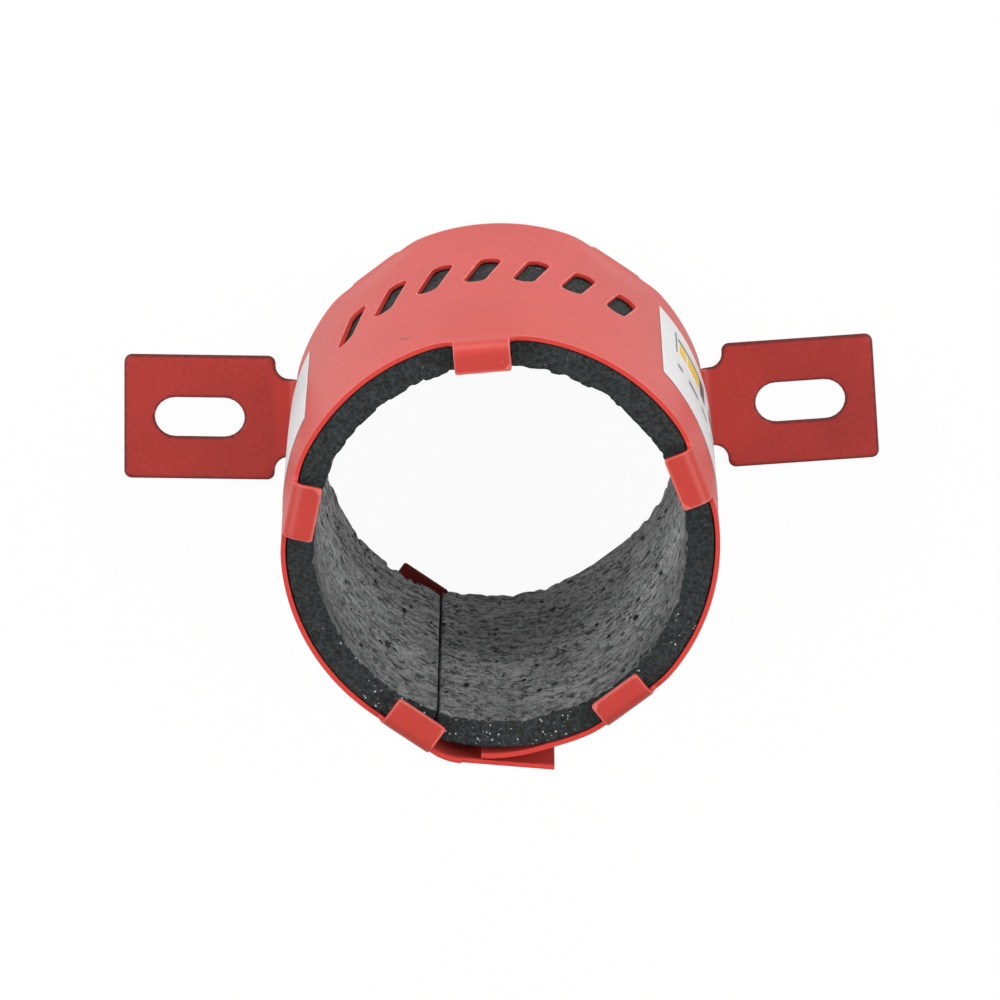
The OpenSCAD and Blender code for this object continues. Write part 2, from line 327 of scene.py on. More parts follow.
def ring_radius(theta, z, s, more):
    """Radius of the casing's outside at an angle and a height.

    It is the round, and at each fold the smooth least of the round and a plane. The plane stands at the
    fold's face over the flat's height and then ramps outwards; its radius is its distance over the
    cosine of the angle from the fold.
    """
    radius = np.full(np.broadcast(theta, z).shape, more.ring)
    for fold in more.flats:
        turn = turn_from(theta, fold.angle)
        run = s.depth - z if fold.end == "front" else z
        ramp = np.maximum(run - s.flat_h, 0) / s.flat_fade
        plane = fold.face + (more.ring - fold.face) * ramp
        flat = plane / np.cos(np.clip(turn, -FOLD_ARC, FOLD_ARC))
        gap = radius - flat
        radius = (radius + flat - np.sqrt(gap * gap + s.flat_soft**2)) / 2
    return radius


def lap_point(run, s, more):
    """Outer face of the lap at a length along it: a straight run, a turn, and a straight tongue."""
    psi = np.clip((run - more.lap_run) / s.lap_r, 0, s.lap_turn)
    on_run = np.minimum(run, more.lap_run)
    beyond = np.maximum(run - more.lap_run - more.lap_arc, 0)
    out = s.lap_r + s.sheet / 2
    x = more.ring_mid - s.lap_r + out * np.cos(psi) - beyond * np.sin(psi)
    y = on_run + out * np.sin(psi) + beyond * np.cos(psi)
    c, d = cos(s.lap_start), sin(s.lap_start)
    return c * x - d * y, d * x + c * y


def fold_sheet(along, up, s, more):
    """Place of the sheet's outer face for points of the flat blank.

    along is the length round the ring and up the height. Between the folds the sheet lies on the ring's
    outside, springs a little out of it at the inner end, and past the start of the lap lies on the lap.
    Above or below the line where the folds start it follows the nearest fold's quarter round, and then
    that fold's plate.
    """
    bend_low, bend_high = more.bend_out, s.depth - more.bend_out
    z = np.clip(up, bend_low, bend_high)
    theta = along / more.ring
    spring = 1 - smooth_step(theta, more.inner_end, more.inner_end + s.end_spring_arc)
    radius = ring_radius(theta, z, s, more) + s.end_spring * spring
    x, y = radius * np.cos(theta), radius * np.sin(theta)

    run = along - more.lap_at
    lap_x, lap_y = lap_point(np.maximum(run, 0), s, more)
    base_x = np.where(run > 0, lap_x, x)
    base_y = np.where(run > 0, lap_y, y)
    x, y = base_x, base_y

    for fold in more.folds:
        past = up - bend_high if fold.end == "front" else bend_low - up
        here = (past > 0) & (np.abs(along - fold.at) < s.ear_w * FOLD_REACH)
        bend = np.clip(past / more.bend_l, 0, 1) * pi / 2
        plate = np.maximum(past - more.bend_l, 0)
        rim = more.bend_out if fold.way == "in" else s.fold_r
        shift = rim * (1 - np.cos(bend)) + plate
        shift = -shift if fold.way == "in" else shift
        rise = rim * np.sin(bend)
        level = bend_high + rise if fold.end == "front" else bend_low - rise
        settle = smooth_step(bend, 0, pi / 2)
        c, d = cos(fold.angle), sin(fold.angle)
        across = run if fold.lap else fold.face * np.tan(np.clip(theta - fold.angle, -FOLD_ARC, FOLD_ARC))
        leg_x = (c * base_x + d * base_y) * (1 - settle) + fold.face * settle
        leg_y = (c * base_y - d * base_x) * (1 - settle) + across * settle
        x = np.where(here, c * (leg_x + shift) - d * leg_y, x)
        y = np.where(here, d * (leg_x + shift) + c * leg_y, y)
        z = np.where(here, level, z)
    return np.stack([x, y, z], 1)


def arc_points(centre, radius, start, end, count=7):
    """Points of an arc, angles in degrees."""
    t = np.radians(np.linspace(start, end, count))
    return np.stack([centre[0] + radius * np.cos(t), centre[1] + radius * np.sin(t)], 1)


def both_sides(half):
    """Left half of an outline followed by its mirror image."""
    return np.concatenate([half, half[::-1] * (-1, 1)])


def tab_outline(face, s, more):
    """Outline of a tab from the casing's edge: relief fillets, sides, and a tip with round corners."""
    w, f, c = s.tab_w / 2, s.root_fillet, s.tab_corner
    top = f + more.bend_l + face - more.bend_out - s.bore - s.tab_clear
    return both_sides(np.concatenate([
        arc_points((-w - f, f), f, -90, 0),
        arc_points((-w + c, top - c), c, 180, 90),
    ]))


def ear_shoulder(s, more):
    """Length of the blank from the casing's edge to the shoulder of an ear."""
    return s.root_fillet + more.bend_l + s.neck_l - s.fold_r


def ear_outline(s, more):
    """Outline of an ear from the casing's edge: neck, reliefs, and a plate with round corners."""
    w, f, n, c = s.neck_w / 2, s.root_fillet, s.neck_fillet, s.ear_corner
    low = ear_shoulder(s, more)
    side, top = s.ear_w / 2, low + s.ear_l
    return both_sides(np.concatenate([
        arc_points((-w - f, f), f, -90, 0),
        arc_points((-w - n, low - n), n, 0, 90),
        arc_points((-side + c, low + c), c, 270, 180),
        arc_points((-side + c, top - c), c, 180, 90),
    ]))


def obround(long, wide):
    """Outline of a slot with round ends, its length along y."""
    h = (long - wide) / 2
    return np.concatenate([
        arc_points((0, h), wide / 2, 0, 180, count=13),
        arc_points((0, -h), wide / 2, 180, 360, count=13),
    ])


def on_blank(points, fold, s, more):
    """Points beside a fold, across and out from the casing's edge, as points of the blank."""
    across = points[:, 0] if fold.lap else more.ring * np.arctan(points[:, 0] / fold.face)
    if fold.end == "front":
        return np.stack([fold.at - across, s.depth - more.edge + points[:, 1]], 1)
    return np.stack([fold.at + across, more.edge - points[:, 1]], 1)


def blank_loops(s, more):
    """Outline of the flat blank and of every hole in it, as closed loops."""
    start = more.inner_end * more.ring
    tongue = more.lap_at + more.lap_run + more.lap_arc
    end = tongue + s.tongue_l
    low, high = more.edge, s.depth - more.edge
    rear, front, holes = [], [], []
    for fold in more.folds:
        if fold.way == "out":
            rear.append(on_blank(ear_outline(s, more), fold, s, more))
            slot = obround(s.slot_l, s.slot_w) + (0, ear_shoulder(s, more) + s.ear_l / 2)
            holes.append(on_blank(slot, fold, s, more))
        elif fold.end == "rear":
            rear.append(on_blank(tab_outline(fold.face, s, more), fold, s, more))
        else:
            front.append(on_blank(tab_outline(fold.face, s, more), fold, s, more))
    set_low, set_high = low + s.tongue_setback, high - s.tongue_setback
    tip = np.array([
        (tongue, low), (tongue, set_low), (end, set_low), (end, set_high), (tongue, set_high), (tongue, high)
    ])
    outline = [np.array([(start, low)]), *rear, tip, *front[::-1], np.array([(start, high)])]
    c, d = cos(s.cut_slant), sin(s.cut_slant)
    cut = obround(s.cut_l, s.cut_w) @ np.array([[c, -d], [d, c]])
    for i in range(s.cut_count):
        place = s.cut_middle + (i - (s.cut_count - 1) / 2) * s.cut_pitch
        holes.append(cut + (place * more.ring, s.cut_z))
    return [np.concatenate(outline)] + holes


def subdivide(loop, step):
    """The loop with extra points so that none of its edges is longer than step."""
    after = np.roll(loop, -1, 0)
    count = np.maximum(np.ceil(np.linalg.norm(after - loop, axis=1) / step), 1).astype(int)
    first = np.repeat(np.arange(len(loop)), count)
    share = (np.arange(len(first)) - np.repeat(np.cumsum(count) - count, count)) / count[first]
    return loop[first] + (after - loop)[first] * share[:, None]


def inside(points, loops):
    """Whether each point lies inside an odd number of the loops, by counting crossings to the right."""
    odd = np.zeros(len(points), bool)
    for loop in loops:
        low, high = loop.min(0), loop.max(0)
        near = np.nonzero(((points >= low) & (points <= high)).all(1))[0]
        a, b = loop, np.roll(loop, -1, 0)
        for part in np.array_split(near, max(len(near) * len(loop) // CHUNK, 1)):
            p = points[part]
            spans = (a[:, 1] > p[:, 1:]) != (b[:, 1] > p[:, 1:])
            rise = np.where(a[:, 1] == b[:, 1], 1.0, b[:, 1] - a[:, 1])
            crossing = a[:, 0] + (p[:, 1:] - a[:, 1]) * (b[:, 0] - a[:, 0]) / rise
            odd[part] ^= (spans & (p[:, :1] < crossing)).sum(1) % 2 == 1
    return odd


def clear_of(points, others, gap):
    """Which points keep that gap from all the others."""
    keep = np.ones(len(points), bool)
    for part in np.array_split(np.arange(len(points)), max(len(points) * len(others) // CHUNK, 1)):
        d = points[part][:, None] - others[None]
        keep[part] = ((d * d).sum(2) > gap * gap).all(1)
    return keep


def grid(u, v):
    """All pairs of two rows of values."""
    a, b = np.meshgrid(u, v, indexing="ij")
    return np.stack([a.ravel(), b.ravel()], 1)


def blank_mesh(s, more):
    """Triangles of the flat blank: its loops, an even grid inside, and closer rows across every fold."""
    step = s.mesh_step
    loops = [subdivide(loop, step * RIM_STEP) for loop in blank_loops(s, more)]
    rim = np.concatenate(loops)
    low, high = loops[0].min(0), loops[0].max(0)
    wall_low, wall_high = more.bend_out, s.depth - more.bend_out
    columns = np.linspace(low[0], high[0], int((high[0] - low[0]) / step))
    rows = np.concatenate([
        np.arange(low[1], wall_low - more.bend_l, step),
        np.linspace(wall_low - more.bend_l, wall_low, BEND_ROWS),
        np.linspace(wall_low, wall_high, int((wall_high - wall_low) / step))[1:-1],
        np.linspace(wall_high, wall_high + more.bend_l, BEND_ROWS),
        np.arange(wall_high + more.bend_l + step, high[1], step),
    ])
    fill = grid(columns, rows)
    fill = fill[inside(fill, loops)]
    fill = fill[clear_of(fill, rim, step * RIM_GAP)]
    points = np.concatenate([rim, fill])
    edges, offset = [], 0
    for loop in loops:
        index = np.arange(len(loop)) + offset
        edges.append(np.stack([index, np.roll(index, -1)], 1))
        offset += len(loop)
    edges = np.concatenate(edges).tolist()
    corners, _, triangles, *_ = delaunay_2d_cdt((points / MM).tolist(), edges, [], 0, WELD)
    points, faces = np.array(corners) * MM, np.array(triangles)
    faces = faces[inside(points[faces].mean(1), loops)]
    return points, faces


def on_rim(count, faces):
    """1 for vertices on the open rim of triangles, where an edge has one face only, 0 for the rest."""
    edges = np.sort(faces[:, [[0, 1], [1, 2], [2, 0]]].reshape(-1, 2), 1)
    pairs, uses = np.unique(edges, axis=0, return_counts=True)
    rim = np.zeros(count)
    rim[pairs[uses == 1].ravel()] = 1
    return rim


def grid_faces(rows, columns, wrap=False):
    """Quads of a grid of vertices, row after row; with wrap the last column joins the first."""
    i, j = np.meshgrid(np.arange(rows - 1), np.arange(columns - (not wrap)), indexing="ij")
    here, beside = i * columns + j, i * columns + (j + 1) % columns
    return np.stack([here, beside, beside + columns, here + columns], 2).reshape(-1, 4)


def round_axis(radius, theta, z):
    """Points at a radius, an angle and a height about the pipe's axis."""
    return np.stack([radius * np.cos(theta), radius * np.sin(theta), z], 2).reshape(-1, 3) + AXIS


def add_mesh(name, points, faces, smooth=True):
    """A new object at the origin with an array of points and a list of faces."""
    mesh = bpy.data.meshes.new(name)
    mesh.from_pydata(points.tolist(), [], faces)
    mesh.polygons.foreach_set("use_smooth", np.full(len(mesh.polygons), smooth))
    mesh.update()
    mesh.validate()
    piece = bpy.data.objects.new(name, mesh)
    bpy.context.scene.collection.objects.link(piece)
    return piece


def add_uv(piece, name, uv):
    """A UV map from one pair of values per vertex."""
    mesh = piece.data
    corner = np.zeros(len(mesh.loops), int)
    mesh.loops.foreach_get("vertex_index", corner)
    layer = mesh.uv_layers.new(name=name)
    layer.data.foreach_set("uv", uv[corner].ravel())


def add_field(piece, name, values):
    """A float attribute with one value per vertex."""
    field = piece.data.attributes.new(name, "FLOAT", "POINT")
    field.data.foreach_set("value", values.ravel())


def seat(piece, slot, material, *nodes):
    """The piece gets its finish, rides on the collar and stands for the nodes."""
    piece.data.materials.append(material)
    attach(piece, BODY)
    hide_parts(*nodes)


class Nodes:
    """The node tree of a finish or of the sky, with short calls to add and join nodes."""

    def __init__(self, owner):
        owner.use_nodes = True
        self.owner = owner
        self.tree = owner.node_tree
        self.tree.nodes.clear()

    def put(self, socket, value):
        """Links another node's output to a socket, or writes a number or colour into it."""
        if isinstance(value, bpy.types.NodeSocket):
            self.tree.links.new(value, socket)
        else:
            socket.default_value = value

    def add(self, kind, inputs=(), **options):
        """A new node of a kind with its options, and its inputs by name or number."""
        node = self.tree.nodes.new(kind)
        for key, value in options.items():
            setattr(node, key, value)
        for key, value in dict(inputs).items():
            self.put(node.inputs[key], value)
        return node

    def place(self, kind="Object", scale=(1, 1, 1), turn=(0, 0, 0)):
        """Coordinates of the piece, scaled to cells per metre."""
        source = self.add("ShaderNodeTexCoord").outputs[kind]
        inputs = {"Vector": source, "Scale": scale, "Rotation": turn}
        return self.add("ShaderNodeMapping", inputs).outputs["Vector"]

    def split(self, place):
        """The three parts of a place."""
        return tuple(self.add("ShaderNodeSeparateXYZ", {"Vector": place}).outputs)

    def noise(self, place, scale, detail=3.0, rough=0.55, warp=0.0):
        """Cloudy noise from 0 to 1."""
        inputs = {"Vector": place, "Scale": scale, "Detail": detail, "Roughness": rough, "Distortion": warp}
        return self.add("ShaderNodeTexNoise", inputs).outputs["Fac"]

    def spots(self, place, scale):
        """Distance to the nearest of scattered points, counted in cells."""
        return self.add("ShaderNodeTexVoronoi", {"Vector": place, "Scale": scale}).outputs["Distance"]

    def field(self, name):
        """A value that the piece's vertices carry."""
        return self.add("ShaderNodeAttribute", attribute_name=name).outputs["Fac"]

    def between(self, value, low, high, start=0.0, end=1.0):
        """A value brought from low..high to start..end, held at both ends."""
        inputs = {"Value": value, "From Min": low, "From Max": high, "To Min": start, "To Max": end}
        return self.add("ShaderNodeMapRange", inputs, clamp=True).outputs["Result"]

    def math(self, operation, a, b=0.0):
        """Two values joined by an operation."""
        return self.add("ShaderNodeMath", {0: a, 1: b}, operation=operation).outputs["Value"]

    def times(self, product, *values):
        """Product of all the values."""
        for value in values:
            product = self.math("MULTIPLY", product, value)
        return product

    def plus(self, a, b):
        """Sum of two values."""
        return self.math("ADD", a, b)

    def minus(self, a, b):
        """Difference of two values."""
        return self.math("SUBTRACT", a, b)

    def off(self, a, b):
        """Distance between two values."""
        return self.math("ABSOLUTE", self.minus(a, b))

    def mix(self, factor, a, b):
        """A colour between two, each a colour or a socket."""
        node = self.add("ShaderNodeMix", {"Factor": factor}, data_type="RGBA")
        for key, value in (("A", a), ("B", b)):
            self.put(next(i for i in node.inputs if i.name == key and i.type == "RGBA"), value)
        return next(o for o in node.outputs if o.type == "RGBA")

    def shade(self, colour_, value):
        """A colour times a value."""
        inputs = {"Vector": colour_, "Scale": value}
        return self.add("ShaderNodeVectorMath", inputs, operation="SCALE").outputs["Vector"]

    def bump(self, height, distance, strength=1.0, over=None):
        """A normal that follows a height, on top of another normal where one is given."""
        inputs = {"Height": height, "Distance": distance, "Strength": strength}
        if over is not None:
            inputs["Normal"] = over
        return self.add("ShaderNodeBump", inputs).outputs["Normal"]

    def surface(self, shader):
        """Ends the tree in a shader and gives back the finish or sky."""
        sky = isinstance(self.owner, bpy.types.World)
        self.add("ShaderNodeOutputWorld" if sky else "ShaderNodeOutputMaterial", {"Surface": shader})
        return self.owner

    def finish(self, colour_, roughness, gloss, normal=None):
        """Ends the tree in a surface with this colour, roughness, specular level and normal."""
        inputs = {"Base Color": colour_, "Roughness": roughness, "Specular IOR Level": gloss}
        if normal is not None:
            inputs["Normal"] = normal
        return self.surface(self.add("ShaderNodeBsdfPrincipled", inputs).outputs["BSDF"])


def tone(colour_, share=1.0):
    """A colour times a share, ready for a socket."""
    return (*(share * c for c in colour_), 1.0)


def coat_material(colours):
    """Red coating: clouds, pale specks, a fine orange peel and one scuff.

    It has painted shade on the plates at the wall, a darker copy of the coat with handling marks, mostly
    spared on the outside of the ears' folds; its rims have a painted highlight, or painted shade at the
    wall.
    """
    n = Nodes(bpy.data.materials.new("red_coat"))
    place = n.place()
    x, y, z = n.split(place)
    cloud = n.between(n.noise(place, 70, detail=4), 0.35, 0.65)
    colour_ = n.mix(cloud, tone(colours.coat, 0.92), tone(colours.coat))

    smears, prickle = n.noise(place, 45, detail=4), n.noise(place, 1500, rough=0.7)
    handled = n.between(n.plus(smears, n.times(prickle, 0.8)), 0.70, 1.10)
    # Painted shade on the plates at the wall, with handling marks in it, mostly spared on the outside of the
    # ears' folds.
    plate_shade = n.mix(handled, tone(colours.coat_wall_shade, 0.82), tone(colours.coat_wall_shade, 1.16))
    at_wall = n.between(z, *WALL_ZONE)
    out = n.off(x, 0.0)
    ear_fold = n.times(n.between(out, *EAR_FOLD_START), n.between(out, *EAR_FOLD_END, 0.0, 0.8))
    colour_ = n.mix(n.minus(at_wall, n.times(at_wall, ear_fold)), colour_, plate_shade)

    line = n.plus(n.times(x, SCUFF_SLOPE), SCUFF_RISE)
    along = n.between(n.off(x, SCUFF_X), 1.0 * MM, 0.6 * MM)
    across = n.between(n.off(z, line), 0.55 * MM, 0.2 * MM)
    scuff = n.times(along, across, n.math("GREATER_THAN", y, SCUFF_LOW), 0.75)
    colour_ = n.mix(scuff, colour_, tone(colours.coat_dirt_and_shade))

    rim = n.field("rim")
    # Painted highlight: pale rims away from the wall.
    highlight_rims = n.times(n.between(rim, 0.70, 0.95, 0.0, 0.6), n.minus(1.0, at_wall))
    # Painted shade: dark rims where they lie on the wall.
    shaded_rims = n.times(n.between(rim, 0.55, 0.85, 0.0, 0.8), at_wall)
    colour_ = n.mix(highlight_rims, colour_, tone(colours.coat_rim_highlight))
    colour_ = n.mix(shaded_rims, colour_, tone(colours.coat_dirt_and_shade))

    patches = n.between(n.noise(place, 90, detail=1), 0.56, 0.60)
    specks = n.times(n.between(n.spots(place, 260), 0.06, 0.03), patches, 0.5)
    colour_ = n.mix(specks, colour_, tone(min(1.0, c + 0.3) for c in colours.coat))

    peel = n.noise(place, 900, detail=2, rough=0.5)
    grain = n.noise(place, 2600, detail=2, rough=0.5)
    roughness = n.between(grain, 0.3, 0.7, 0.40, 0.50)
    normal = n.bump(grain, 0.008 * MM, 0.4, over=n.bump(peel, 0.02 * MM, 0.5))
    return n.finish(colour_, roughness, gloss=0.3, normal=normal)


def edge_material(colours):
    """Cut edges: coat lightened as a painted highlight, and painted shade, dark and matt, on those at the
    wall.
    """
    n = Nodes(bpy.data.materials.new("edge_coat"))
    _, _, z = n.split(n.place())
    # Painted highlight on the cut edges, painted shade on those at the wall.
    colour_ = n.mix(n.between(z, *EDGE_ZONE), tone(colours.coat_edge_highlight), tone(colours.coat_dirt_and_shade))
    return n.finish(colour_, n.between(z, *EDGE_ZONE, 0.4, 0.85), gloss=0.25)


def inside_material(colours):
    """Cloudy coating inside the sheet, lightened as painted light, with painted shade where it lies on the
    wall.
    """
    n = Nodes(bpy.data.materials.new("inside_coat"))
    place = n.place()
    _, _, z = n.split(place)
    cloud = n.between(n.noise(place, 160, detail=4), 0.3, 0.7)
    # Painted light: the inside is coloured lighter than the outside coat.
    colour_ = n.mix(cloud, tone(colours.coat_inside_lightened, 0.75), tone(colours.coat_inside_lightened))
    # Painted shade where the inside lies on the wall.
    colour_ = n.mix(n.between(z, *WALL_ZONE), colour_, tone(colours.coat_wall_shade, 0.8))
    return n.finish(colour_, roughness=0.6, gloss=0.3)


def liner_material(colours):
    """Intumescent strip: grey bore with fibres round it and pits, and darker cut faces with bright flecks.

    The bore's texture lies on the unrolled strip, with painted shade that darkens it towards the front.
    The painted glints gather low on the ring.
    """
    n = Nodes(bpy.data.materials.new("intumescent_strip"))
    strip, body = n.place("UV"), n.place()
    _, y, z = n.split(body)
    along = n.place("UV", scale=(330, 820, 1), turn=(0, 0, 0.12))
    aslant = n.place("UV", scale=(480, 320, 1), turn=(0, 0, -0.25))
    fibre = n.noise(along, 1, detail=6, rough=0.74, warp=1.0)
    crumb = n.noise(n.place("UV", scale=(760, 560, 1)), 1, detail=7, rough=0.80, warp=1.1)
    torn = n.noise(aslant, 1, detail=6, rough=0.72, warp=1.2)
    tooth = n.plus(n.times(fibre, 0.45), n.times(crumb, 0.55))
    grey = n.mix(n.between(tooth, 0.42, 0.54), tone(colours.liner_dark), tone(colours.liner_wall))
    grey = n.mix(n.between(torn, 0.56, 0.62, 0.0, 0.85), grey, tone(colours.liner_dark, 0.5))
    blotch = n.between(n.noise(strip, 75), 0.35, 0.70, 0.0, 0.4)
    grey = n.mix(blotch, grey, tone(colours.liner_dark))
    holes = n.between(n.spots(n.place("UV", scale=(520, 270, 1)), 1), 0.26, 0.17)
    hole = n.times(holes, n.between(n.noise(strip, 260, detail=1), 0.53, 0.57))
    grey = n.mix(n.math("MAXIMUM", hole, n.field("pit")), grey, tone(colours.liner_pit))
    # Painted shade: the bore darkens towards the front.
    grey = n.shade(grey, n.between(z, 28 * MM, 60 * MM, 1.0, 0.30))

    wall = n.field("wall")
    mottle = n.noise(body, 1700, detail=4, rough=0.75)
    cut = n.between(mottle, 0.40, 0.62)
    face = n.mix(cut, tone(colours.liner_face, 0.3), tone(colours.liner_face, 1.8))
    both = n.mix(wall, face, grey)

    # Painted glints on the cut faces, crowded low on the ring.
    glint_crowd = n.plus(n.noise(body, 210, detail=1), n.between(y, -6 * MM, -30 * MM, 0.06, 0.28))
    glints = n.times(
        n.between(n.spots(body, 1500), 0.23, 0.14),
        n.between(glint_crowd, 0.68, 0.76),
        n.between(n.noise(body, 1700, detail=0), 0.48, 0.56),
        n.between(wall, 0.6, 0.2),
    )
    both = n.mix(glints, both, tone(colours.liner_glint))

    relief = n.minus(n.minus(tooth, n.times(torn, 0.7)), hole)
    normal = n.bump(mottle, 0.16 * MM, 0.8, over=n.bump(relief, 0.6 * MM))
    return n.finish(both, roughness=0.85, gloss=0.25, normal=normal)


def box_field(n, u, v, box):
    """1 inside a rectangle of the label's own coordinates, 0 outside."""
    low_u, high_u, low_v, high_v = box
    return n.times(
        n.math("GREATER_THAN", u, low_u),
        n.math("LESS_THAN", u, high_u),
        n.math("GREATER_THAN", v, low_v),
        n.math("LESS_THAN", v, high_v),
    )


def label_material(colours, printed):
    """Paper label: faint fibres and greying, and either plain printed fields and bars or one crease's
    painted shade.
    """
    n = Nodes(bpy.data.materials.new("printed_label" if printed else "plain_label"))
    place = n.place()
    grime = n.between(n.noise(place, 60, detail=2), 0.40, 0.80, 0.0, 0.6)
    colour_ = n.mix(grime, tone(colours.paper), tone(colours.paper_worn_and_shade))
    u, v, _ = n.split(n.place("UV"))
    if printed:
        prints = [(box, 1.0, colours.print_dark) for box in DARK_FIELDS]
        prints += [(box, 1.0, colours.print_block) for box in COLOUR_FIELDS]
        prints += [((*bar, *BAR_ROW), 0.8, colours.print_dark) for bar in BARS]
        for box, strength, ink in prints:
            colour_ = n.mix(n.times(box_field(n, u, v, box), strength), colour_, tone(ink))
    else:
        # Painted shade of a crease down the left label.
        crease_shade = n.between(n.off(u, CREASE_U), 0.05, 0.0, 0.0, 0.5)
        colour_ = n.mix(crease_shade, colour_, tone(colours.paper_worn_and_shade))
    fibres = n.bump(n.noise(place, 1400, detail=4), 0.01 * MM, 0.4)
    return n.finish(colour_, roughness=0.55, gloss=0.5, normal=fibres)


def finish_sheet(piece, thickness, offset, edge, *finishes):
    """Gives a surface its thickness and rounds its cut edges.

    The two finishes, where they are given, are those of its inside and of its cut edges.
    """
    solid = piece.modifiers.new("thickness", "SOLIDIFY")
    solid.thickness = thickness
    solid.offset = offset
    solid.use_even_offset = True
    round_ = piece.modifiers.new("cut_edges", "BEVEL")
    round_.width = edge
    round_.segments = 2
    round_.limit_method = "ANGLE"
    round_.angle_limit = SHARP_ANGLE
    normals = piece.modifiers.new("even_shading", "WEIGHTED_NORMAL")
    normals.keep_sharp = False
    for finish in finishes:
        piece.data.materials.append(finish)
    if finishes:
        solid.material_offset = 1
        solid.material_offset_rim = 2
        round_.material = 2


def rolled_strip(s, more):
    """The liner: a section carried round the axis from one side of the seam to the other.

    The section runs up the bore, across the front face, down the outside and back across the rear face.
    Round noise roughens the bore and tears its edges; pits are where a finer noise passes a limit. The
    rear edge is skewed: its two ends rise unevenly towards the seam, with a notch there, and it sags over
    one of the rear tabs, where the bore is pressed smooth. At the strip's outside it is even.
    """
    turns, up, across, down = 470, 120, 12, 24
    half = s.seam_w / 2 / s.bore
    theta = np.linspace(s.seam + half, s.seam + 2 * pi - half, turns)[:, None]
    rise = np.linspace(0, 1, up)
    step = np.linspace(0, 1, across + 1)[1:]
    fall = np.linspace(1, 0, down + 1)[1:]
    height = np.concatenate([rise, np.ones(across), fall, np.zeros(across - 1)])[None]
    depth = np.concatenate([np.zeros(up), step, np.ones(down), 1 - step[:-1]])[None]
    u = theta / (2 * pi) + 0 * height
    v = height + 0 * theta

    low, high = more.edge + s.liner_recess, s.depth - more.edge - s.liner_recess
    rough = [value_noise(u, 0 * v, cells, 1, seed) for seed, cells in enumerate((70, 210, 90, 260), 11)]
    turn, left = theta - theta[0], theta[-1] - theta
    pressed_tab = -s.rear_angle
    notch = s.notch_h * (1 - smooth_step(np.minimum(turn, left) * s.bore, 0, s.notch_w))
    first = s.first_rise * (1 - smooth_step(turn, 0, FIRST_ARC))
    last = s.last_rise * smooth_step(turn, *LAST_ARC)
    sag = s.rear_sag * bump_at(theta, pressed_tab, SAG_ARC)
    ragged = (0.25 * rough[0] + 0.2 * rough[1] + 0.4) * MM
    tear_rear = (ragged + notch + first + last - sag) * (1 - depth)
    tear_front = 0.08 * MM * (rough[2] + rough[3])
    lowest = s.sheet + s.liner_fit / 2
    z = np.maximum(low + tear_rear, lowest) * (1 - v) + (high + tear_front) * v

    lumps = 0.12 * MM * value_noise(u, v, 60, 16, 1) + 0.10 * MM * value_noise(u, v, 150, 60, 2)
    pit = smooth_step(value_noise(u, v, 200, 110, 3) + 0.35 * value_noise(u, v, 40, 14, 4), 0.68, 0.98)
    pit = pit * (depth == 0) * smooth_step(v, 0.0, 0.02) * smooth_step(1 - v, 0.0, 0.02)
    chip_rear = smooth_step(rough[1] + 0.5 * rough[0], 0.0, 0.9) * (1 - smooth_step(v, 0.0, 0.035))
    chip_front = smooth_step(rough[3] + 0.5 * rough[2], 0.1, 0.9) * smooth_step(v, 0.97, 1.0)
    worn = s.bore_wear + lumps + s.pit_depth * pit + s.chip_depth * (chip_rear + chip_front)
    pressed = bump_at(theta, pressed_tab, PRESS_ARC) * (1 - smooth_step(v, 0.0, 0.12))
    inner = s.bore + worn * (1 - 0.9 * pressed)
    outer = ring_radius(theta, z, s, more) - s.sheet - s.liner_fit
    points = round_axis(inner * (1 - depth) + outer * depth, theta, z)

    ring = height.shape[1]
    first_end, last_end = np.arange(ring)[::-1], np.arange(ring) + (turns - 1) * ring
    faces = grid_faces(turns, ring, wrap=True).tolist() + [first_end.tolist(), last_end.tolist()]
    piece = add_mesh("liner_strip", points, faces)
    steps = np.hypot(np.diff(height[0]) * (high - low), np.diff(depth[0]) * (s.liner_out - s.bore))
    length_round = np.concatenate([[0], np.cumsum(steps)])
    uv = np.stack([theta * s.bore + 0 * height, length_round[None] + 0 * theta], 2).reshape(-1, 2)
    add_uv(piece, "strip", uv)
    add_field(piece, "wall", ((depth == 0) & (height < 1)) * np.ones_like(u))
    add_field(piece, "pit", pit)
    return piece


def label_patch(name, start, way, s, more):
    """A label: a patch of the casing's outside, lifted by its glue, from a start angle one way round."""
    columns, rows = 73, 49
    around, up = np.linspace(0, 1, columns)[:, None], np.linspace(0, 1, rows)[None]
    theta = start + way * around * s.label_l / more.ring + 0 * up
    z = s.label_low + (s.label_high - s.label_low) * up + 0 * around
    radius = ring_radius(theta, z, s, more) + s.label_glue
    faces = grid_faces(columns, rows)
    if way > 0:
        faces = faces[:, [0, 3, 2, 1]]
    piece = add_mesh(name, round_axis(radius, theta, z), faces.tolist())
    add_uv(piece, "label", np.stack([around + 0 * up, up + 0 * around], 2).reshape(-1, 2))
    finish_sheet(piece, s.label_t, 1, s.label_t / 4)
    return piece


def seen_directly(n):
    """1 for rays from the camera, mirrors and glass, 0 for light that lands on other things."""
    path = n.add("ShaderNodeLightPath").outputs
    seen = n.math("MAXIMUM", path["Is Camera Ray"], path["Is Glossy Ray"])
    return n.math("MAXIMUM", seen, path["Is Transmission Ray"])


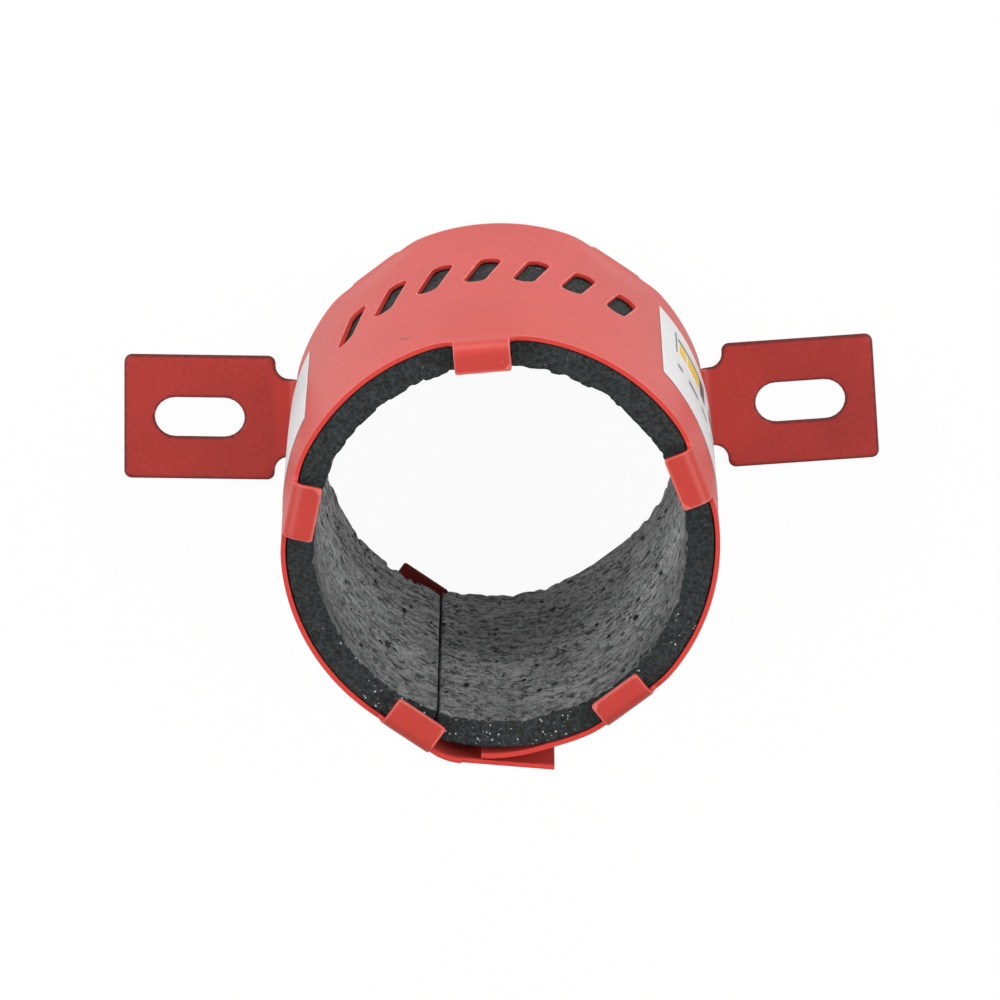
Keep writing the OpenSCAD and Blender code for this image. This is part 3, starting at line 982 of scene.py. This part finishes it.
def add_floor(stage):
    """A square floor just under the ears: matt for light, with a share of pure white where it is seen."""
    n = Nodes(bpy.data.materials.new("pale_floor"))
    matt = n.add("ShaderNodeBsdfDiffuse", {"Color": FLOOR_WHITE}).outputs["BSDF"]
    white = n.add("ShaderNodeEmission", {"Strength": 1.0}).outputs["Emission"]
    share = n.times(seen_directly(n), stage.floor_glow)
    blend = n.add("ShaderNodeMixShader", {0: share, 1: matt, 2: white})
    w, z = stage.floor, -stage.floor_drop
    corners = np.array([(-w, -w, z), (w, -w, z), (w, w, z), (-w, w, z)])
    floor = add_mesh("floor", corners, [(0, 1, 2, 3)], smooth=False)
    floor.data.materials.append(n.surface(blend.outputs["Shader"]))


def add_lamp(name, place, power):
    """A square lamp at a place, facing the middle of the casing."""
    lamp = bpy.data.lights.new(name, "AREA")
    lamp.shape = "SQUARE"
    lamp.size = LAMP_SIZE
    lamp.energy = power
    piece = bpy.data.objects.new(name, lamp)
    bpy.context.scene.collection.objects.link(piece)
    piece.location = place
    away = piece.location - (CASING_LOW + CASING_HIGH) / 2
    piece.rotation_euler = away.to_track_quat("Z", "Y").to_euler()


def add_sky(stage):
    """Light from all round: weak where it lands on things, plain white where it is seen."""
    n = Nodes(bpy.data.worlds.new("studio"))
    strength = n.between(seen_directly(n), 0.0, 1.0, stage.sky, 1.0)
    background = n.add("ShaderNodeBackground", {"Color": (1, 1, 1, 1), "Strength": strength})
    bpy.context.scene.world = n.surface(background.outputs["Background"])


def add_camera(stage):
    """A long lens whose view is turned by yaw, pitch and roll, and then moved off the collar's foot."""
    lens = bpy.data.cameras.new("photo_camera")
    lens.lens = stage.lens
    camera = bpy.data.objects.new("photo_camera", lens)
    bpy.context.scene.collection.objects.link(camera)
    turned = Matrix.Rotation(stage.roll, 4, "Z") @ Matrix.Rotation(stage.pitch, 4, "X")
    turned = turned @ Matrix.Rotation(stage.yaw, 4, "Y")
    view = Matrix.Translation((stage.aside, stage.aloft, -stage.distance)) @ turned
    camera.matrix_world = view.inverted()
    bpy.context.scene.camera = camera


class COLLAR_OT_casing(bpy.types.Operator):
    """Folds the flat blank into the casing and gives it its thickness and coat"""

    bl_idname = "collar.casing"
    bl_label = "Casing"

    def execute(self, context):
        s, more, colours = settings()
        blank, faces = blank_mesh(s, more)
        points = fold_sheet(blank[:, 0], blank[:, 1], s, more) + AXIS
        piece = add_mesh("folded_casing", points, faces.tolist())
        add_field(piece, "rim", on_rim(len(blank), faces))
        seat(piece, "casing", coat_material(colours), "casing")
        thickness = SHEET_SHARE * s.sheet
        finish_sheet(piece, thickness, -1, s.sheet_edge, inside_material(colours), edge_material(colours))
        return {"FINISHED"}


class COLLAR_OT_liner(bpy.types.Operator):
    """Rolls the intumescent strip into a ring with a rough bore, torn edges and a butt seam"""

    bl_idname = "collar.liner"
    bl_label = "Liner"

    def execute(self, context):
        s, more, colours = settings()
        piece = rolled_strip(s, more)
        seat(piece, "liner", liner_material(colours), "intumescent_liner")
        return {"FINISHED"}


class COLLAR_OT_labels(bpy.types.Operator):
    """Sticks the two paper labels on the casing"""

    bl_idname = "collar.labels"
    bl_label = "Labels"

    def execute(self, context):
        s, more, colours = settings()
        right = label_patch("paper_label_right", s.right_label, -1, s, more)
        seat(right, "label", label_material(colours, True), "label_right")
        left = label_patch("paper_label_left", s.left_label, 1, s, more)
        seat(left, "label", label_material(colours, False), "label_left")
        return {"FINISHED"}


class COLLAR_OT_stage(bpy.types.Operator):
    """Sets up the pale floor, the soft light and the camera"""

    bl_idname = "collar.stage"
    bl_label = "Stage"

    def execute(self, context):
        stage = context.scene.collar_stage
        add_floor(stage)
        across, up, out = SIDE_LAMP
        add_lamp("left_lamp", (-across, up, out), stage.side)
        add_lamp("right_lamp", (across, up, out), stage.side)
        add_lamp("top_lamp", TOP_LAMP, stage.top)
        add_sky(stage)
        add_camera(stage)
        context.scene.view_settings.view_transform = "Standard"
        return {"FINISHED"}


class COLLAR_PT_sidebar(bpy.types.Panel):
    """Lists the collar's operators and settings"""

    bl_idname = "COLLAR_PT_sidebar"
    bl_label = "Pipe fire collar"
    bl_space_type = "VIEW_3D"
    bl_region_type = "UI"
    bl_category = "Collar"

    def draw(self, context):
        for operator in OPERATORS:
            self.layout.operator(operator.bl_idname)
        for name in GROUPS:
            group = getattr(context.scene, name)
            box = self.layout.box()
            for key in group.bl_rna.properties.keys():
                if key not in {"rna_type", "name"}:
                    box.prop(group, key)


GROUPS = {"collar_sizes": CollarSizes, "collar_colours": CollarColours, "collar_stage": CollarStage}
OPERATORS = (COLLAR_OT_casing, COLLAR_OT_liner, COLLAR_OT_labels, COLLAR_OT_stage)
CLASSES = (*GROUPS.values(), *OPERATORS, COLLAR_PT_sidebar)


def register():
    """Makes the classes known, and hangs the settings on the scene."""
    for item in CLASSES:
        bpy.utils.register_class(item)
    for key, group in GROUPS.items():
        setattr(bpy.types.Scene, key, bpy.props.PointerProperty(type=group))


def unregister():
    """Takes back what register did."""
    for key in GROUPS:
        delattr(bpy.types.Scene, key)
    for item in reversed(CLASSES):
        bpy.utils.unregister_class(item)


def main():
    """Builds the pieces and the stage in order."""
    register()
    bpy.ops.collar.casing()
    bpy.ops.collar.liner()
    bpy.ops.collar.labels()
    bpy.ops.collar.stage()


if __name__ == "__main__":
    main()
